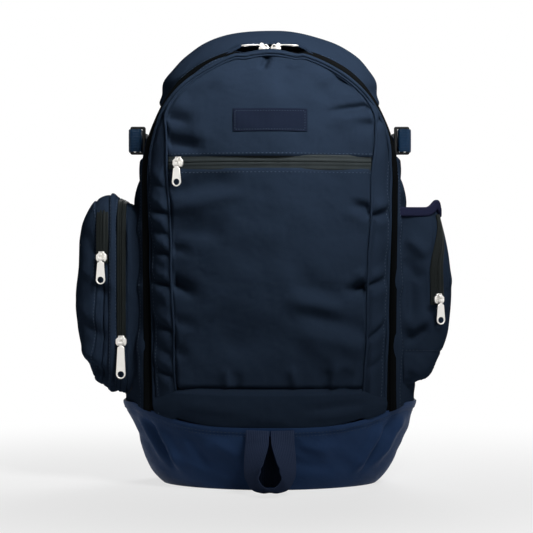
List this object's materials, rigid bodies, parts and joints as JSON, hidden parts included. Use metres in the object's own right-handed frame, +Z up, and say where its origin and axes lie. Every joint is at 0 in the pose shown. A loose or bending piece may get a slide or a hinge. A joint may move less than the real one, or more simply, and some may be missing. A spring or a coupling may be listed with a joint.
{
  "type": "racket backpack",
  "caption": "Sports day backpack with a forward-opening zipped lid, front zip pocket, two side pockets, padded straps and a coated base.",
  "frame": {"origin": "middle of the flat base, on the surface the bag stands on", "axes": "+Z up, the front of the bag faces -Y, +X to the right seen from the front"},
  "size_m": [0.4159, 0.2974, 0.505],
  "materials": {
    "twill": "matt navy twill",
    "back_cloth": "matt navy cloth",
    "spacer_mesh": "open spacer mesh",
    "strap_pad": "matt navy cloth",
    "base_cloth": "smooth coated nylon with a slight sheen",
    "stiffener": "matt black",
    "lining": "plain lining cloth",
    "zip_tape": "matt coated black",
    "webbing": "ribbed webbing",
    "side_webbing": "shiny blue webbing",
    "buckle": "satin black",
    "binding": "grosgrain",
    "patch": "woven, bare",
    "zip_metal": "satin nickel"
  },
  "bodies": {
    "shell": {"main_gusset": "twill", "back_panel": "back_cloth", "back_pad_upper": "spacer_mesh", "back_pad_left": "spacer_mesh", "back_pad_right": "spacer_mesh", "base_boot": "base_cloth", "base_board": "stiffener", "inner_sleeve": "lining", "main_zip_tape": "zip_tape", "shoulder_strap_left": "strap_pad", "shoulder_strap_right": "strap_pad", "strap_webbing_left": "webbing", "strap_webbing_right": "webbing", "ladder_lock_left": "buckle", "ladder_lock_right": "buckle", "haul_anchor": "webbing", "side_strap_left": "side_webbing", "side_strap_right": "side_webbing", "side_lock_left": "buckle", "side_lock_right": "buckle", "left_pocket": "twill", "left_outer_tape": "zip_tape", "left_inner_tape": "zip_tape", "right_pocket": "twill", "right_binding": "binding", "right_tape": "zip_tape"},
    "lid": {"lid_gusset": "twill", "lid_piping": "binding", "front_panel_upper": "twill", "front_panel_main": "twill", "front_panel_lower": "twill", "front_pocket_lining": "lining", "label_patch": "patch", "front_zip_tape": "zip_tape", "lid_zip_tape": "zip_tape"},
    "left_outer_slider": {"left_outer_slider": "zip_metal"},
    "left_outer_pull": {"left_outer_pull": "zip_metal"},
    "left_inner_slider": {"left_inner_slider": "zip_metal"},
    "left_inner_pull": {"left_inner_pull": "zip_metal"},
    "right_slider": {"right_slider": "zip_metal"},
    "right_pull": {"right_pull": "zip_metal"},
    "front_slider": {"front_slider": "zip_metal"},
    "front_pull": {"front_pull": "zip_metal"},
    "main_slider_left": {"main_slider_left": "zip_metal"},
    "main_pull_left": {"main_pull_left": "zip_metal"},
    "main_slider_right": {"main_slider_right": "zip_metal"},
    "main_pull_right": {"main_pull_right": "zip_metal"},
    "haul_loop": {"haul_loop": "webbing"},
    "bottom_loop": {"bottom_loop": "webbing"}
  },
  "joints": [
    {"name": "lid_hinge", "type": "hinge", "parent": "shell", "child": "lid", "pos_m": [0, -0.1062, 0.066], "axis": [1, 0, 0], "range_deg": [0, 80]},
    {"name": "front_zip", "type": "hinge", "parent": "lid", "child": "front_slider", "pos_m": [0, 0.15603, 0.3498], "axis": [0, 0, 1], "range_deg": [0, 43.2]},
    {"name": "front_pull_swing", "type": "hinge", "parent": "front_slider", "child": "front_pull", "pos_m": [-0.09957, -0.08942, 0.3483], "axis": [-0.9267, 0.3759, 0], "range_deg": [0, 150]},
    {"name": "main_zip_left", "type": "hinge", "parent": "lid", "child": "main_slider_left", "pos_m": [0, -0.0485, 0.307], "axis": [0, -1, 0], "range_deg": [0, 18]},
    {"name": "main_pull_left_lift", "type": "hinge", "parent": "main_slider_left", "child": "main_pull_left", "pos_m": [-0.00914, -0.0485, 0.47978], "axis": [0, 1, 0], "range_deg": [0, 120]},
    {"name": "main_zip_right", "type": "hinge", "parent": "lid", "child": "main_slider_right", "pos_m": [0, -0.0485, 0.307], "axis": [0, 1, 0], "range_deg": [0, 18]},
    {"name": "main_pull_right_lift", "type": "hinge", "parent": "main_slider_right", "child": "main_pull_right", "pos_m": [0.00914, -0.0485, 0.47978], "axis": [0, -1, 0], "range_deg": [0, 120]},
    {"name": "left_outer_zip", "type": "slide", "parent": "shell", "child": "left_outer_slider", "axis": [0, 0, 1], "range_m": [0, 0.04]},
    {"name": "left_outer_pull_swing", "type": "hinge", "parent": "left_outer_slider", "child": "left_outer_pull", "pos_m": [-0.18466, -0.04167, 0.2475], "axis": [-0.9854, 0.1704, 0], "range_deg": [0, 150]},
    {"name": "left_inner_zip", "type": "slide", "parent": "shell", "child": "left_inner_slider", "axis": [0, 0, 1], "range_m": [0, 0.1]},
    {"name": "left_inner_pull_swing", "type": "hinge", "parent": "left_inner_slider", "child": "left_inner_pull", "pos_m": [-0.16245, -0.04334, 0.1555], "axis": [-0.9999, 0.0148, 0], "range_deg": [0, 150]},
    {"name": "right_zip", "type": "slide", "parent": "shell", "child": "right_slider", "axis": [0, 0, 1], "range_m": [0, 0.035]},
    {"name": "right_pull_swing", "type": "hinge", "parent": "right_slider", "child": "right_pull", "pos_m": [0.18684, -0.03708, 0.2015], "axis": [-0.9032, -0.4293, 0], "range_deg": [0, 150]},
    {"name": "haul_loop_swing", "type": "hinge", "parent": "shell", "child": "haul_loop", "pos_m": [0, 0.0993, 0.468], "axis": [1, 0, 0], "range_deg": [0, 150]},
    {"name": "bottom_loop_swing", "type": "hinge", "parent": "shell", "child": "bottom_loop", "pos_m": [0, -0.1073, 0.0655], "axis": [-1, 0, 0], "range_deg": [0, 45]}
  ]
}
